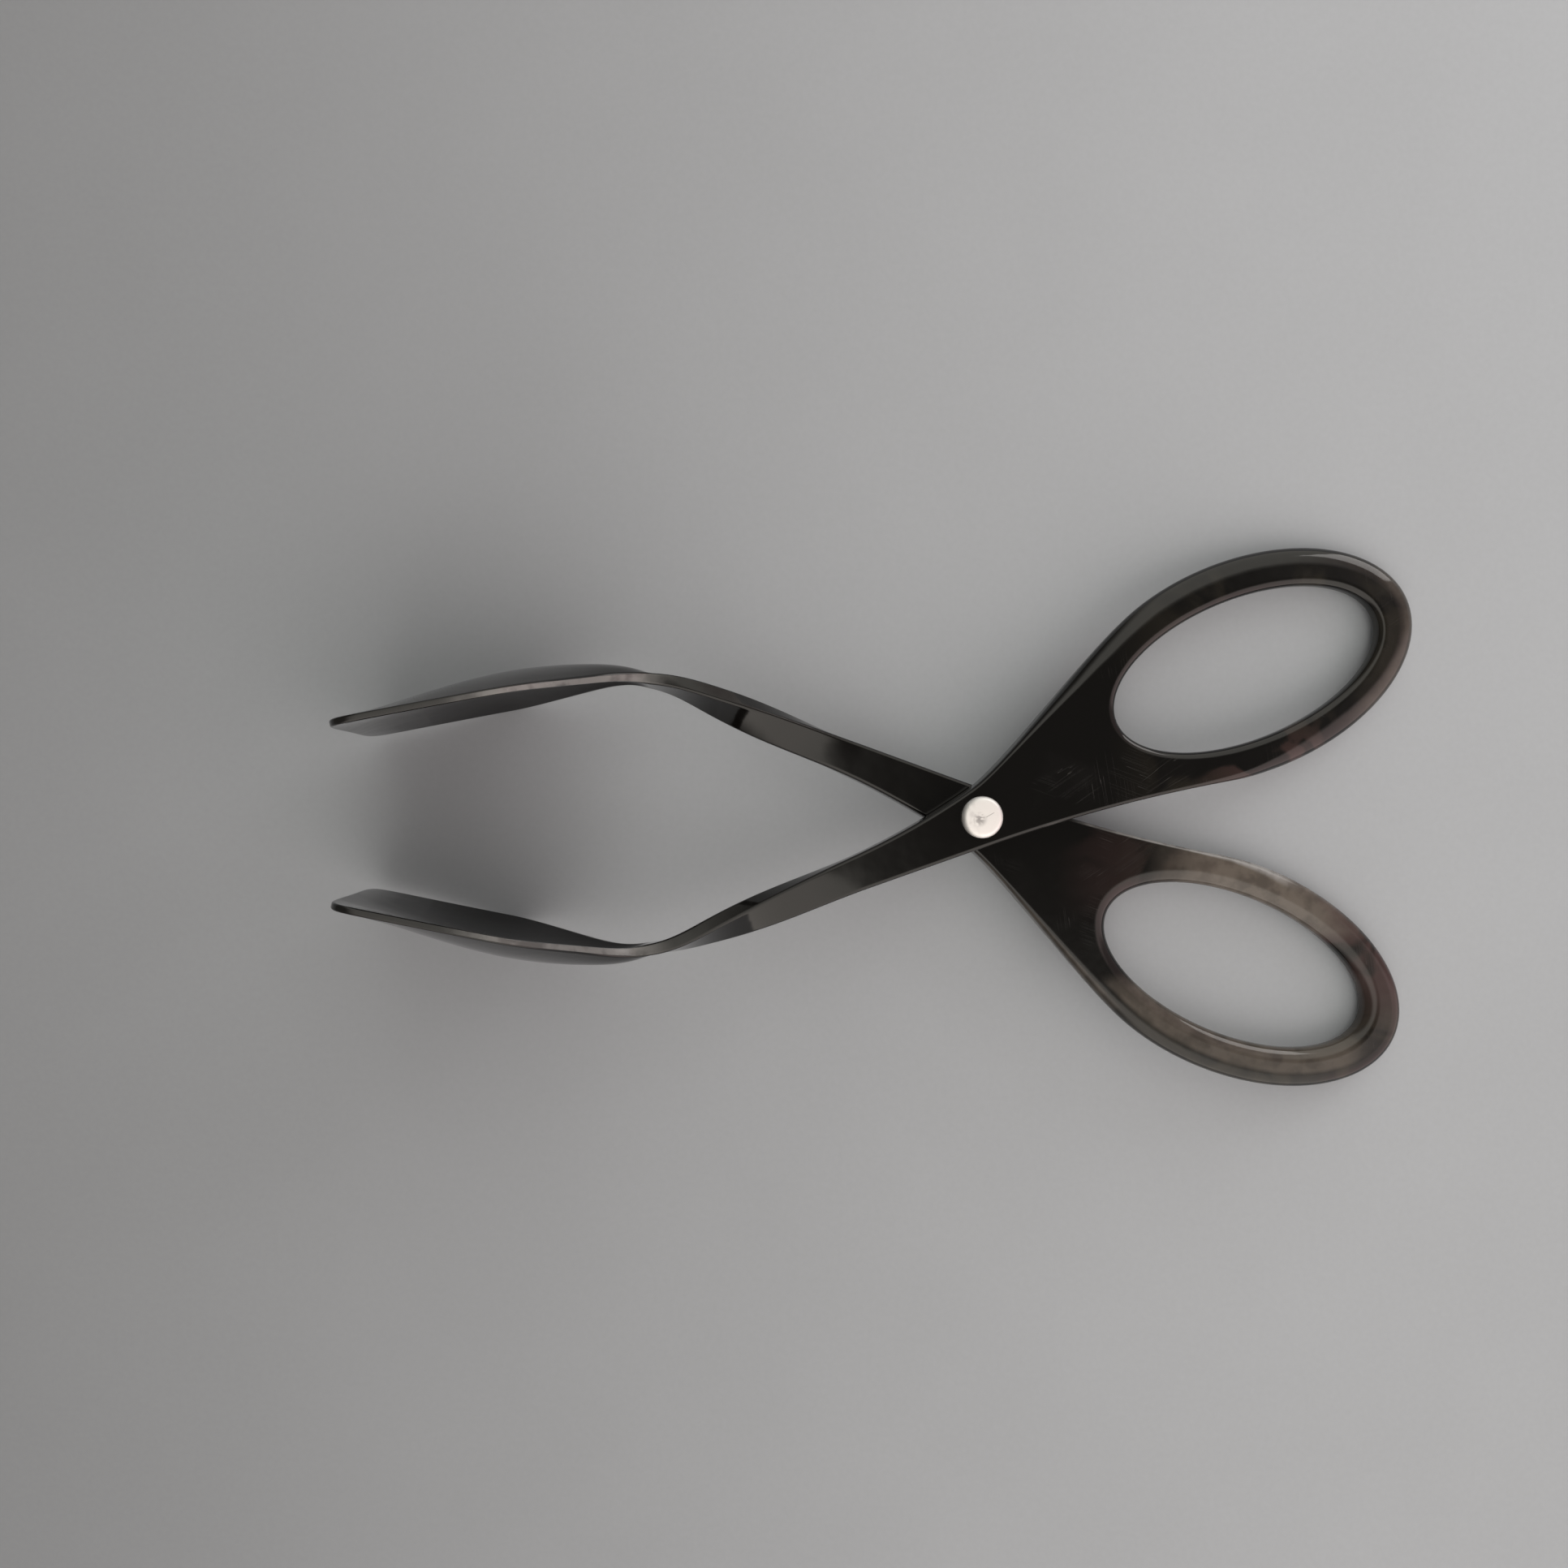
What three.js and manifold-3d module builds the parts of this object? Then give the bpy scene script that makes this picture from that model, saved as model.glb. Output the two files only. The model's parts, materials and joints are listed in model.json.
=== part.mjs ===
// Scissor-action serving tongs: two identical moulded arms, one turned over, crossed on a two-piece rivet.
// Millimetres, +Z up. The tongs lie half open on a table, with +X towards the finger loops and the origin
// on the table under the middle of the tongs.
import * as THREE from 'three';
import { mergeVertices } from 'three/addons/utils/BufferGeometryUtils.js';
import Module from 'manifold-3d';

const { lerp, smoothstep, degToRad } = THREE.MathUtils;

// Thickness and gaps
const ARM_THICKNESS = 4.6;
const PADDLE_THICKNESS = 1.3;
const ARM_GAP = 0.3;

// Finger loop: an oval hole, set off from the arm's axis, with a band of uneven width round it.
// The handle's length runs from the pivot to the loop's far end.
const HANDLE_LENGTH = 96.1;
const HOLE_LENGTH = 56.4;
const HOLE_WIDTH = 27.3;
const HOLE_OFFSET = 7.3;
const BAND_FAR = 7.9;
const BAND_OUTER = 7.6;
const BAND_INNER = 6.7;
const LOOP_SHIFT = 0.65;

// Throat between the pivot and the loop
const PIVOT_WIDTH = 11.4;
const THROAT_OUTER_ANGLE = degToRad(117.5);
const THROAT_INNER_ANGLE = degToRad(250);
const THROAT_OUTER_LEAVE = 9.3;
const THROAT_OUTER_ARRIVE = 12.7;
const THROAT_INNER_LEAVE = 16;
const THROAT_INNER_ARRIVE = 16;

// Shank: measured along the arm, from the pivot to the tip
const SHANK_WIDTH = 6.2;
const SHANK_TAPER = 38;
const SHANK_OFFSET = 1.15;
const OFFSET_LENGTH = 25.8;
const THINNING_START = 6;
const THINNING_END = 100;
const TWIST = degToRad(90);
const TWIST_START = 25;
const TWIST_END = 72.5;
const NECK_WIDTH = 7.3;
const NECK_AT = 68;
const NECK_TURN = degToRad(33.3);
const TURN_START = 56.8;
const TURN_END = 79.6;

// Paddle: an upright leaf, dished towards the other one
const PADDLE_WIDTH = 44.8;
const PADDLE_FULL_AT = 96.6;
const NOSE_AT = 112.3;
const TIP_AT = 124.8;
const NOSE_SQUARENESS = 7;
const DISH_DEPTH = 4.4;
const DISH_BIAS = 0.87;
const PADDLE_DROP = 1.38;

// Rounded edges: how far in from the edge the rounding starts, at each part of the arm
const PADDLE_ROUND = 0.4;
const PIVOT_ROUND = 1.2;
const LOOP_ROUND = 3.4;
const HOLE_ROUND = 1.8;
const ROUND_START = 5;
const ROUND_END = 45;
const PARTING_LAND = 0.3;

// Rivet: a sleeve with the visible head, and a pin pressed into it from below
const RIVET_HEAD = 8;
const RIVET_HEAD_HEIGHT = 1.3;
const RIVET_HEAD_ROUND = 0.7;
const RIVET_CROWN = 0.25;
const SLEEVE_DIAMETER = 4.6;
const PIN_DIAMETER = 2.6;
const RIVET_CLEARANCE = 0.3;
const SLEEVE_SHORT = 0.8;
const BORE_ROOF = 1;
const PIN_CHAMFER = 0.6;

// How far the arms stand open, each to its own side of the axis
const HALF_OPENING = degToRad(22);

// Mesh steps
const NOSE_STEPS = 8;
const FRONT_STEPS = 30;
const THROAT_STEPS = 8;
const THROAT_CUT = 3;
const LOOP_STEPS = 36;
const RIM_STEPS = 3;
const COLUMNS = 6;
const ROUND_SEGMENTS = 40;
const HEAD_STEPS = 4;
const LINE_STEPS = 48;
const NORMAL_STEP = 0.05;
const SETTLE_ROUNDS = 6;

const wasm = await Module();
wasm.setup();

// Heights from the parting plane, then plain formulas of the arm along its length
const ARM_MIDDLE = (ARM_GAP + ARM_THICKNESS) / 2;
const ARM_TOP = ARM_GAP / 2 + ARM_THICKNESS;
const HEAD_SEAT = ARM_TOP + RIVET_CLEARANCE;

function easeOut(length, span) {
  const left = Math.max(0, 1 - length / span);
  return 1 - left * left;
}

function halfWidth(along) {
  const taper = lerp(PIVOT_WIDTH, SHANK_WIDTH, easeOut(along, SHANK_TAPER));
  const neck = lerp(taper, NECK_WIDTH, smoothstep(along, SHANK_TAPER, NECK_AT));
  return lerp(neck, PADDLE_WIDTH, smoothstep(along, NECK_AT, PADDLE_FULL_AT)) / 2;
}

function thickness(along) {
  return lerp(ARM_THICKNESS, PADDLE_THICKNESS, smoothstep(along, THINNING_START, THINNING_END));
}

function heading(along) {
  return NECK_TURN * smoothstep(along, TURN_START, TURN_END);
}

function dish(along) {
  const share = THREE.MathUtils.clamp((along - NECK_AT) / (TIP_AT - NECK_AT), 0, 1);
  return DISH_DEPTH * Math.sin(Math.PI * share ** DISH_BIAS);
}

// The arm's centre line in plan, walked from the pivot
function centreLine(along) {
  const stride = along / LINE_STEPS;
  const point = new THREE.Vector3(0, -SHANK_OFFSET * easeOut(along, OFFSET_LENGTH), 0);
  for (let i = 0; i < LINE_STEPS; i += 1) {
    const turn = heading((i + 0.5) * stride);
    point.x -= Math.cos(turn) * stride;
    point.y += Math.sin(turn) * stride;
  }
  return point;
}

// Maps a point of the flat blank onto the middle surface of the moulded arm: x along it, y across it.
// The handle stays flat, and the front twists a quarter turn, turns in at the neck and is dished.
function middle(x, y) {
  if (x >= 0) {
    return new THREE.Vector3(x, y, ARM_MIDDLE);
  }
  const along = -x;
  const turned = smoothstep(along, TWIST_START, TWIST_END);
  const twist = TWIST * turned;
  const turn = heading(along);
  const side = new THREE.Vector3(Math.sin(turn), Math.cos(turn), 0);
  const up = new THREE.Vector3(0, 0, 1);
  const across = side.clone().multiplyScalar(Math.cos(twist)).addScaledVector(up, Math.sin(twist));
  const outward = up.clone().multiplyScalar(Math.cos(twist)).addScaledVector(side, -Math.sin(twist));
  const point = centreLine(along);
  point.z = lerp(ARM_MIDDLE, -PADDLE_DROP, turned);
  const reach = Math.min(1, Math.abs(y) / Math.max(noseWidth(along), PARTING_LAND));
  return point.addScaledVector(across, y).addScaledVector(outward, dish(along) * (1 - reach * reach));
}

// Half the width of the blank, with the nose's corners rounded off
function noseWidth(along) {
  const share = THREE.MathUtils.clamp((along - NOSE_AT) / (TIP_AT - NOSE_AT), 0, 1);
  return halfWidth(along) * (1 - share ** NOSE_SQUARENESS) ** (1 / NOSE_SQUARENESS);
}

function normal(x, y) {
  const alongX = middle(x + NORMAL_STEP, y).sub(middle(x - NORMAL_STEP, y));
  const alongY = middle(x, y + NORMAL_STEP).sub(middle(x, y - NORMAL_STEP));
  return alongX.cross(alongY).normalize();
}

// The blank's outline, clockwise from the tip: front edge, throat, loop, throat, front edge
function frontEdge() {
  const edge = [];
  for (let i = 0; i < NOSE_STEPS; i += 1) {
    const angle = (Math.PI / 2) * (1 - i / NOSE_STEPS);
    const along = NOSE_AT + (TIP_AT - NOSE_AT) * Math.sin(angle) ** (2 / NOSE_SQUARENESS);
    const half = i === 0 ? 0 : halfWidth(along) * Math.cos(angle) ** (2 / NOSE_SQUARENESS);
    edge.push(new THREE.Vector2(-along, half));
  }
  for (let i = 0; i <= FRONT_STEPS; i += 1) {
    const along = NOSE_AT * (1 - i / FRONT_STEPS);
    edge.push(new THREE.Vector2(-along, halfWidth(along)));
  }
  return edge;
}

const holeRadii = new THREE.Vector2(HOLE_LENGTH / 2, HOLE_WIDTH / 2);
const holeCentre = new THREE.Vector2(HANDLE_LENGTH - BAND_FAR - holeRadii.x, HOLE_OFFSET);
const loopRadii = new THREE.Vector2(
  HOLE_LENGTH / 2 + BAND_FAR - LOOP_SHIFT,
  (HOLE_WIDTH + BAND_OUTER + BAND_INNER) / 2,
);
const loopCentre = new THREE.Vector2(
  holeCentre.x + LOOP_SHIFT,
  holeCentre.y + (BAND_OUTER - BAND_INNER) / 2,
);

function onEllipse(centre, radii, angle) {
  return new THREE.Vector2(centre.x + radii.x * Math.cos(angle), centre.y + radii.y * Math.sin(angle));
}

// One side of the throat, from the pivot to where it meets the loop's oval
function throat(sign, angle, leaving, arriving) {
  const start = new THREE.Vector2(0, (sign * PIVOT_WIDTH) / 2);
  const flare = (PIVOT_WIDTH - SHANK_WIDTH) / SHANK_TAPER;
  const drift = (2 * SHANK_OFFSET) / OFFSET_LENGTH;
  const leave = new THREE.Vector2(1, sign * flare + drift).normalize();
  const end = onEllipse(loopCentre, loopRadii, angle);
  const arrive = new THREE.Vector2(loopRadii.x * Math.sin(angle), -loopRadii.y * Math.cos(angle));
  arrive.multiplyScalar(sign).normalize();
  const curve = new THREE.CubicBezierCurve(
    start,
    start.clone().addScaledVector(leave, leaving),
    end.clone().addScaledVector(arrive, -arriving),
    end,
  );
  return curve.getPoints(THROAT_STEPS);
}

function outline() {
  const front = frontEdge();
  const outer = throat(1, THROAT_OUTER_ANGLE, THROAT_OUTER_LEAVE, THROAT_OUTER_ARRIVE);
  const inner = throat(-1, THROAT_INNER_ANGLE, THROAT_INNER_LEAVE, THROAT_INNER_ARRIVE);
  const sweep = THROAT_OUTER_ANGLE + 2 * Math.PI - THROAT_INNER_ANGLE;
  const loop = [];
  for (let i = 1; i < LOOP_STEPS; i += 1) {
    loop.push(onEllipse(loopCentre, loopRadii, THROAT_OUTER_ANGLE - (sweep * i) / LOOP_STEPS));
  }
  const back = front.slice(1).reverse().map((point) => new THREE.Vector2(point.x, -point.y));
  return {
    points: [...front, ...outer.slice(1), ...loop, ...inner.slice(1).reverse(), ...back],
    cut: front.length - 1 + THROAT_CUT,
  };
}

// Collects points as pairs, one on each face of the arm, and joins them with triangles
class Sheet {
  constructor() {
    this.vertices = [];
    this.triangles = [];
  }

  pair(x, y, half) {
    const point = middle(x, y);
    const offset = normal(x, y).multiplyScalar(half);
    const index = this.vertices.length / 3;
    this.vertices.push(...point.clone().add(offset), ...point.clone().sub(offset));
    return index;
  }

  triangle(a, b, c) {
    if (a !== b && b !== c && c !== a) {
      this.triangles.push(a, b, c);
    }
  }

  // Both faces of the arm, for a corner list that runs anticlockwise from above
  faces(a, b, c, d) {
    this.triangle(a, b, c);
    this.triangle(a, c, d);
    this.triangle(a + 1, c + 1, b + 1);
    this.triangle(a + 1, d + 1, c + 1);
  }

  // The narrow wall between the two faces, for an edge with the arm on its right
  wall(a, b) {
    this.triangle(a, b, b + 1);
    this.triangle(a, b + 1, a + 1);
  }
}

function edgeRound(x) {
  const front = lerp(PIVOT_ROUND, PADDLE_ROUND, smoothstep(-x, THINNING_START, THINNING_END));
  return lerp(front, LOOP_ROUND, smoothstep(x, ROUND_START, ROUND_END));
}

// A rim: rows of points from the edge inwards, which round the edge off on both faces
function rim(sheet, point, inward, round) {
  const half = thickness(-point.x) / 2;
  const height = Math.min(round, half - PARTING_LAND / 2);
  const row = [];
  for (let k = 0; k <= RIM_STEPS; k += 1) {
    const angle = ((Math.PI / 2) * k) / RIM_STEPS;
    const at = point.clone().addScaledVector(inward, round * (1 - Math.cos(angle)));
    row.push({ at, index: sheet.pair(at.x, at.y, half - height * (1 - Math.sin(angle))) });
  }
  return row;
}

function armGeometry() {
  const sheet = new Sheet();
  const { points, cut } = outline();
  const count = points.length;
  const next = (i) => (i + 1) % count;
  const edge = points.map((point, i) => {
    const tangent = points[next(i)].clone().sub(points[(i + count - 1) % count]).normalize();
    return rim(sheet, point, new THREE.Vector2(tangent.y, -tangent.x), edgeRound(point.x));
  });
  edge.forEach((row, i) => {
    const other = edge[next(i)];
    sheet.wall(row[0].index, other[0].index);
    for (let k = 0; k < RIM_STEPS; k += 1) {
      sheet.faces(row[k].index, row[k + 1].index, other[k + 1].index, other[k].index);
    }
  });

  // Rungs from one front edge to the other, from the tip to the middle of the throat
  const rungs = [];
  for (let i = 0; i <= cut; i += 1) {
    const left = edge[i][RIM_STEPS];
    const right = edge[(count - i) % count][RIM_STEPS];
    const rung = [left.index];
    for (let j = 1; j < COLUMNS; j += 1) {
      const at = left.at.clone().lerp(right.at, j / COLUMNS);
      rung.push(i === 0 ? left.index : sheet.pair(at.x, at.y, thickness(-at.x) / 2));
    }
    rung.push(right.index);
    rungs.push(rung);
  }
  for (let i = 0; i < cut; i += 1) {
    for (let j = 0; j < COLUMNS; j += 1) {
      sheet.faces(rungs[i][j], rungs[i][j + 1], rungs[i + 1][j + 1], rungs[i + 1][j]);
    }
  }

  // The ring round the hole: the loop's edge, closed by the last rung
  const ring = edge.slice(cut, count - cut + 1).map((row) => row[RIM_STEPS].index);
  ring.push(...rungs[cut].slice(1, COLUMNS).reverse());
  const hole = ring.map((index) => {
    const [x, y] = sheet.vertices.slice(index * 3, index * 3 + 2);
    const angle = Math.atan2((y - holeCentre.y) / holeRadii.y, (x - holeCentre.x) / holeRadii.x);
    const outward = new THREE.Vector2(Math.cos(angle) / holeRadii.x, Math.sin(angle) / holeRadii.y);
    return rim(sheet, onEllipse(holeCentre, holeRadii, angle), outward.normalize(), HOLE_ROUND);
  });
  ring.forEach((index, i) => {
    const j = (i + 1) % ring.length;
    sheet.faces(index, hole[i][RIM_STEPS].index, hole[j][RIM_STEPS].index, ring[j]);
    for (let k = 0; k < RIM_STEPS; k += 1) {
      sheet.faces(hole[i][k + 1].index, hole[i][k].index, hole[j][k].index, hole[j][k + 1].index);
    }
    sheet.wall(hole[j][0].index, hole[i][0].index);
  });

  const body = new THREE.BufferGeometry();
  body.setAttribute('position', new THREE.Float32BufferAttribute(sheet.vertices, 3));
  body.setIndex(sheet.triangles);
  const bore = new THREE.CylinderGeometry(
    SLEEVE_DIAMETER / 2 + RIVET_CLEARANCE,
    SLEEVE_DIAMETER / 2 + RIVET_CLEARANCE,
    2 * HEAD_SEAT,
    ROUND_SEGMENTS,
  ).rotateX(Math.PI / 2);
  return fromSolid(toSolid(body).subtract(toSolid(bore)));
}

function toSolid(geometry) {
  const bare = geometry.clone();
  bare.deleteAttribute('normal');
  bare.deleteAttribute('uv');
  const merged = mergeVertices(bare);
  return new wasm.Manifold(new wasm.Mesh({
    numProp: 3,
    vertProperties: new Float32Array(merged.attributes.position.array),
    triVerts: new Uint32Array(merged.index.array),
  }));
}

function fromSolid(solid) {
  const mesh = solid.getMesh();
  const geometry = new THREE.BufferGeometry();
  geometry.setAttribute('position', new THREE.BufferAttribute(mesh.vertProperties, 3));
  geometry.setIndex(new THREE.BufferAttribute(mesh.triVerts, 1));
  return geometry;
}

// A rivet head's profile from its crown to its flat underside, at height zero
function headProfile() {
  const radius = RIVET_HEAD / 2;
  const corner = RIVET_HEAD_HEIGHT - RIVET_CROWN - RIVET_HEAD_ROUND;
  const profile = [new THREE.Vector2(0, RIVET_HEAD_HEIGHT)];
  for (let i = 0; i <= HEAD_STEPS; i += 1) {
    const angle = (Math.PI / 2) * (1 - i / HEAD_STEPS);
    profile.push(new THREE.Vector2(
      radius - RIVET_HEAD_ROUND * (1 - Math.cos(angle)),
      corner + RIVET_HEAD_ROUND * Math.sin(angle),
    ));
  }
  profile.push(new THREE.Vector2(radius, 0));
  return profile;
}

// The sleeve hangs from its head and stops short of the pin's head
const SLEEVE_LENGTH = HEAD_SEAT + ARM_TOP - SLEEVE_SHORT;
const BORE_RADIUS = PIN_DIAMETER / 2 + RIVET_CLEARANCE;

function revolve(profile) {
  return new THREE.LatheGeometry(profile, ROUND_SEGMENTS).rotateX(Math.PI / 2);
}

function sleeveGeometry() {
  const profile = headProfile();
  profile.push(
    new THREE.Vector2(SLEEVE_DIAMETER / 2, 0),
    new THREE.Vector2(SLEEVE_DIAMETER / 2, -SLEEVE_LENGTH),
    new THREE.Vector2(BORE_RADIUS, -SLEEVE_LENGTH),
    new THREE.Vector2(BORE_RADIUS, -BORE_ROOF),
    new THREE.Vector2(0, -BORE_ROOF),
  );
  return revolve(profile.reverse());
}

function pinGeometry() {
  const length = 2 * HEAD_SEAT - BORE_ROOF - RIVET_CLEARANCE;
  const radius = PIN_DIAMETER / 2;
  const profile = headProfile();
  profile.push(
    new THREE.Vector2(radius, 0),
    new THREE.Vector2(radius, -length + PIN_CHAMFER),
    new THREE.Vector2(radius - PIN_CHAMFER, -length),
    new THREE.Vector2(0, -length),
  );
  return revolve(profile.reverse());
}

const plastic = () => new THREE.MeshStandardMaterial({ color: 0x17150f, roughness: 0.22, metalness: 0 });
const nickel = () => new THREE.MeshStandardMaterial({ color: 0xd9d8d4, roughness: 0.3, metalness: 1 });

function named(name, geometry, material) {
  const mesh = new THREE.Mesh(geometry, material);
  mesh.name = name;
  return mesh;
}

// The stack in its own frame: rivet axis along Z, the arms' parting plane at height zero
function buildStack() {
  const stack = new THREE.Group();
  const turnedOver = new THREE.Group();
  turnedOver.rotation.x = Math.PI;
  const arm = armGeometry();
  const upper = named('upper_arm', arm, plastic());
  const lower = named('lower_arm', arm.clone(), plastic());
  upper.rotation.z = HALF_OPENING;
  lower.rotation.z = HALF_OPENING;
  const sleeve = named('rivet_sleeve', sleeveGeometry(), nickel());
  const pin = named('rivet_pin', pinGeometry(), nickel());
  sleeve.position.z = HEAD_SEAT;
  pin.position.z = HEAD_SEAT;
  turnedOver.add(lower, pin);
  stack.add(upper, sleeve, turnedOver);
  return stack;
}

// The table's upward direction in the stack's frame: square to the plane through the lowest points of the
// two paddles and the two loops, which a few rounds settle on
function tableNormal(stack) {
  stack.updateMatrixWorld(true);
  const corners = [];
  stack.traverse((item) => {
    if (item.isMesh) {
      const place = item.geometry.attributes.position;
      for (let i = 0; i < place.count; i += 1) {
        corners.push(new THREE.Vector3().fromBufferAttribute(place, i).applyMatrix4(item.matrixWorld));
      }
    }
  });
  const up = new THREE.Vector3(0, 0, 1);
  const lowest = (xSign, ySign) => corners
    .filter((corner) => corner.x * xSign > SHANK_TAPER && corner.y * ySign > 0)
    .reduce((best, corner) => (corner.dot(up) < best.dot(up) ? corner : best));
  for (let round = 0; round < SETTLE_ROUNDS; round += 1) {
    const frontLeft = lowest(-1, 1);
    const frontRight = lowest(-1, -1);
    const backLeft = lowest(1, 1);
    const backRight = lowest(1, -1);
    const first = backLeft.clone().sub(frontRight);
    const second = backRight.clone().sub(frontLeft);
    up.copy(second.cross(first).normalize());
  }
  return up;
}

const tongs = new THREE.Group();
const stack = buildStack();
const up = tableNormal(stack);
const forward = new THREE.Vector3(1, 0, 0).addScaledVector(up, -up.x).normalize();
const lying = new THREE.Matrix4().makeBasis(forward, up.clone().cross(forward), up).transpose();
stack.quaternion.setFromRotationMatrix(lying);
tongs.add(stack);
tongs.updateMatrixWorld(true);
const box = new THREE.Box3().setFromObject(tongs, true);
const centre = box.getCenter(new THREE.Vector3());
stack.position.set(-centre.x, -centre.y, -box.min.z);

export default tongs;
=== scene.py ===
"""Scissor-action serving tongs: two moulded arms, a two-piece rivet and a plain studio."""

import json
import math
from types import SimpleNamespace
from typing import NamedTuple

import bmesh
import bpy
import numpy as np
from mathutils import Matrix, Vector


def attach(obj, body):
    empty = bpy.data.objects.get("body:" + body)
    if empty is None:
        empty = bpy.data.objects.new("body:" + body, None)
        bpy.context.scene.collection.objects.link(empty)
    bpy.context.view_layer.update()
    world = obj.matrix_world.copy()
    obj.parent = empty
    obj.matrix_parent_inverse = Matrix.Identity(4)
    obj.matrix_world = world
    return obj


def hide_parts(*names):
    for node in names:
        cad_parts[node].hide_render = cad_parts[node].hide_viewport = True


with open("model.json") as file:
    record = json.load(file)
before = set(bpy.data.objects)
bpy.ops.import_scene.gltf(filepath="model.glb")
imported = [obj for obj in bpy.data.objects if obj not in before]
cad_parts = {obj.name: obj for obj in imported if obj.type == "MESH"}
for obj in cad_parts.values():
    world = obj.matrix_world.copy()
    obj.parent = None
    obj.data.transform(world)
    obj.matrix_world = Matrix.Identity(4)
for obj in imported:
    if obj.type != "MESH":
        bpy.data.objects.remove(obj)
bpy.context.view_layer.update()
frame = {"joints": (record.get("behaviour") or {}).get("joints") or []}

bl_info = {
    "name": "Scissor Tongs",
    "version": (1, 0, 0),
    "blender": (4, 5, 0),
    "location": "3D View > Sidebar > Tongs",
    "description": "Builds a pair of scissor-action serving tongs round its packed solids",
    "category": "Object",
}

MM = 0.001
CREASE_ANGLE = math.radians(35)


def length(name, millimetres, description):
    """A length with its default in millimetres."""
    return bpy.props.FloatProperty(
        name=name, description=description, default=millimetres * MM, min=0.0, precision=5, unit="LENGTH"
    )


def angle(name, degrees, description):
    """An angle with its default in degrees."""
    return bpy.props.FloatProperty(
        name=name, description=description, default=math.radians(degrees), subtype="ANGLE"
    )


def number(name, default, description):
    """A plain number."""
    return bpy.props.FloatProperty(name=name, description=description, default=default, min=0.0)


def colour(name, rgb, description):
    """A colour in linear light."""
    return bpy.props.FloatVectorProperty(
        name=name, description=description, default=rgb, size=3, min=0.0, max=1.0, subtype="COLOR"
    )


class ArmSizes(bpy.types.PropertyGroup):
    """Sizes of one moulded arm, along it from the pivot and across it."""

    arm_thickness: length("Arm thickness", 4.6, "Thickness of the handle and the pivot")
    paddle_thickness: length("Paddle thickness", 1.3, "Thickness of the neck and the paddle")
    arm_gap: length("Arm gap", 0.3, "Gap between the two arms at the pivot")
    handle_length: length("Handle length", 96.1, "From the pivot to the loop's far end")
    hole_length: length("Hole length", 56.4, "Length of the finger hole")
    hole_width: length("Hole width", 27.3, "Width of the finger hole")
    hole_offset: length("Hole offset", 7.3, "How far the hole sits outwards from the arm's axis")
    band_far: length("Far band", 7.9, "Width of the loop's band at its far end")
    band_outer: length("Outer band", 7.6, "Width of the loop's band on its outer side")
    band_inner: length("Inner band", 6.7, "Width of the loop's band on its inner side")
    loop_shift: length("Loop shift", 0.65, "How far the loop's oval sits beyond the hole's oval")
    pivot_width: length("Pivot width", 11.4, "Width of the arm at the rivet")
    throat_outer_angle: angle("Outer throat angle", 117.5, "Where the throat meets the loop's oval outside")
    throat_inner_angle: angle("Inner throat angle", 250, "Where the throat meets the loop's oval inside")
    throat_outer_leave: length("Outer throat leave", 9.3, "How straight it leaves the pivot outside")
    throat_outer_arrive: length("Outer throat arrive", 12.7, "How straight it meets the loop outside")
    throat_inner_leave: length("Inner throat leave", 16, "How straight it leaves the pivot inside")
    throat_inner_arrive: length("Inner throat arrive", 16, "How straight it meets the loop inside")
    shank_width: length("Shank width", 6.2, "Width of the shank where it is slimmest")
    shank_taper: length("Shank taper", 38, "Length over which the shank slims")
    shank_offset: length("Shank offset", 1.15, "How far the shank runs beside the pivot")
    offset_length: length("Offset length", 25.8, "Length over which the shank moves aside")
    thinning_start: length("Thinning start", 6, "Where the arm starts to get thinner")
    thinning_end: length("Thinning end", 100, "Where the arm has the paddle's thickness")
    twist: angle("Twist", 90, "Turn of the shank about its own length")
    twist_start: length("Twist start", 25, "Where the shank starts to twist")
    twist_end: length("Twist end", 72.5, "Where the twist is complete")
    neck_width: length("Neck width", 7.3, "Width of the arm at the neck")
    neck_at: length("Neck", 68, "Where the neck is")
    neck_turn: angle("Neck turn", 33.3, "How far the arm turns in at the neck")
    turn_start: length("Turn start", 56.8, "Where the arm starts to turn in")
    turn_end: length("Turn end", 79.6, "Where the arm has turned in")
    paddle_width: length("Paddle width", 44.8, "Width of the paddle")
    paddle_full_at: length("Full paddle", 96.6, "Where the paddle has its full width")
    nose_at: length("Nose", 112.3, "Where the paddle's nose starts to round off")
    tip_at: length("Tip", 124.8, "Where the paddle ends")
    nose_squareness: number("Nose squareness", 7, "2 is an oval nose, and more is squarer")
    dish_depth: length("Dish depth", 4.4, "Depth of the paddle's dish")
    dish_bias: number("Dish bias", 0.87, "Below 1 the dish is deepest nearer the neck")
    paddle_drop: length("Paddle drop", 1.38, "How far the paddle's middle lies beyond the parting plane")
    paddle_round: length("Paddle rounding", 0.4, "Rounding of the paddle's edge")
    pivot_round: length("Pivot rounding", 0.7, "Rounding of the arm's edge at the pivot")
    loop_round: length("Loop rounding", 3.6, "Rounding of the loop's edge on the outer face")
    loop_crisp: length("Crisp rounding", 2.0, "Rounding of the loop's edge towards the other arm")
    hole_round: length("Hole rounding", 1.4, "Rounding of the hole's edge on the outer face")
    hole_soft: length("Soft hole rounding", 2.7, "Rounding of the hole's edge towards the other arm")
    outer_start: length("Outer rounding start", 5, "Where the outer edge's rounding starts to widen")
    outer_end: length("Outer rounding end", 45, "Where the outer edge has the loop's rounding")
    inner_start: length("Inner rounding start", 40, "Where the inner edge's rounding starts to widen")
    inner_end: length("Inner rounding end", 75, "Where the inner edge has the loop's rounding")
    parting_land: length("Parting land", 0.3, "Flat strip along the mould's parting line")
    half_opening: angle("Half opening", 22, "How far each arm stands open")


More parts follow.
